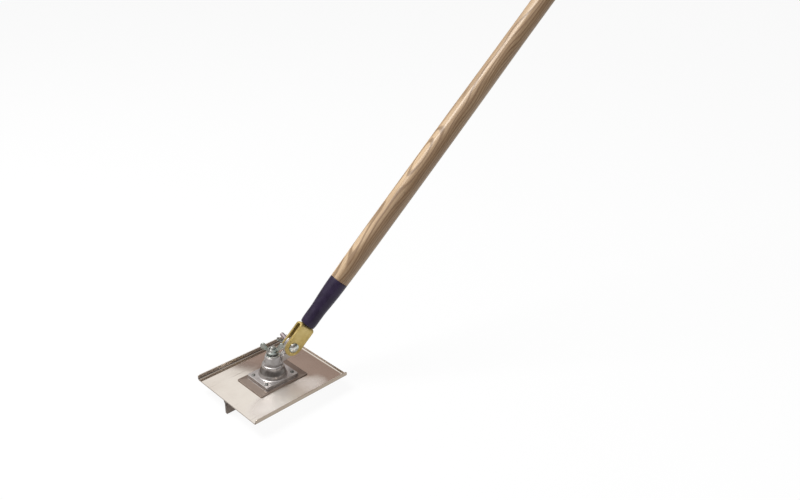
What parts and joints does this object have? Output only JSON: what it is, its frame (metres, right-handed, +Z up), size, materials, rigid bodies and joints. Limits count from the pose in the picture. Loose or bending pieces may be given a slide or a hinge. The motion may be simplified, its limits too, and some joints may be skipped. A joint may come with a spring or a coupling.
{
  "type": "walk-behind concrete groover",
  "caption": "Walk-behind concrete groover: polished sole with upturned sides and a grooving bit below, swivelling cast head locked by a wing nut, and long wooden handle that tilts in a clevis.",
  "frame": {"origin": "middle of the grooving bit's flat lower edge, straight below the stud that the head swivels on", "axes": "+Z up along the swivel stud; +X along the bit, towards the end that the handle leans over; +Y across the sole"},
  "size_m": [1.1343, 0.3721, 1.2856],
  "materials": {
    "sole_steel": "polished stainless sheet",
    "bit_steel": "ground steel",
    "cast_aluminium": "satin casting",
    "zinc_plate": "bright zinc",
    "yellow_zinc": "yellow zinc",
    "socket_enamel": "dark gloss enamel",
    "lacquered_ash": "lacquered"
  },
  "bodies": {
    "sole_unit": {"sole_plate": "sole_steel", "groover_bit": "bit_steel", "doubler_plate": "sole_steel", "base_casting": "cast_aluminium", "base_rivet_1": "zinc_plate", "base_rivet_2": "zinc_plate", "base_rivet_3": "zinc_plate", "base_rivet_4": "zinc_plate", "swivel_stud": "zinc_plate", "stud_washer": "zinc_plate", "stud_spring_washer": "zinc_plate"},
    "swivel_arm": {"swivel_head": "cast_aluminium"},
    "stud_nut": {"stud_wing_nut": "zinc_plate"},
    "handle": {"clevis_strap": "yellow_zinc", "pivot_bolt": "zinc_plate", "pivot_washer": "zinc_plate", "pivot_spring_washer": "zinc_plate", "web_rivet": "zinc_plate", "handle_socket": "socket_enamel", "handle_pin": "zinc_plate", "wood_handle": "lacquered_ash"},
    "pivot_nut": {"pivot_wing_nut": "zinc_plate"}
  },
  "joints": [
    {"name": "head_swivel", "type": "hinge", "parent": "sole_unit", "child": "swivel_arm", "pos_m": [0, 0, 0.0537], "axis": [0, 0, 1], "continuous": true},
    {"name": "handle_tilt", "type": "hinge", "parent": "swivel_arm", "child": "handle", "pos_m": [0.03584, -0.0096, 0.0815], "axis": [-0.2588, -0.9659, 0], "range_deg": [-45, 40]},
    {"name": "stud_nut_turn", "type": "hinge", "parent": "sole_unit", "child": "stud_nut", "pos_m": [0, 0, 0.08], "axis": [0, 0, 1], "range_deg": [0, 360]},
    {"name": "pivot_nut_turn", "type": "hinge", "parent": "handle", "child": "pivot_nut", "pos_m": [0.03584, -0.0096, 0.0815], "axis": [0.2588, 0.9659, 0], "range_deg": [0, 360]}
  ]
}
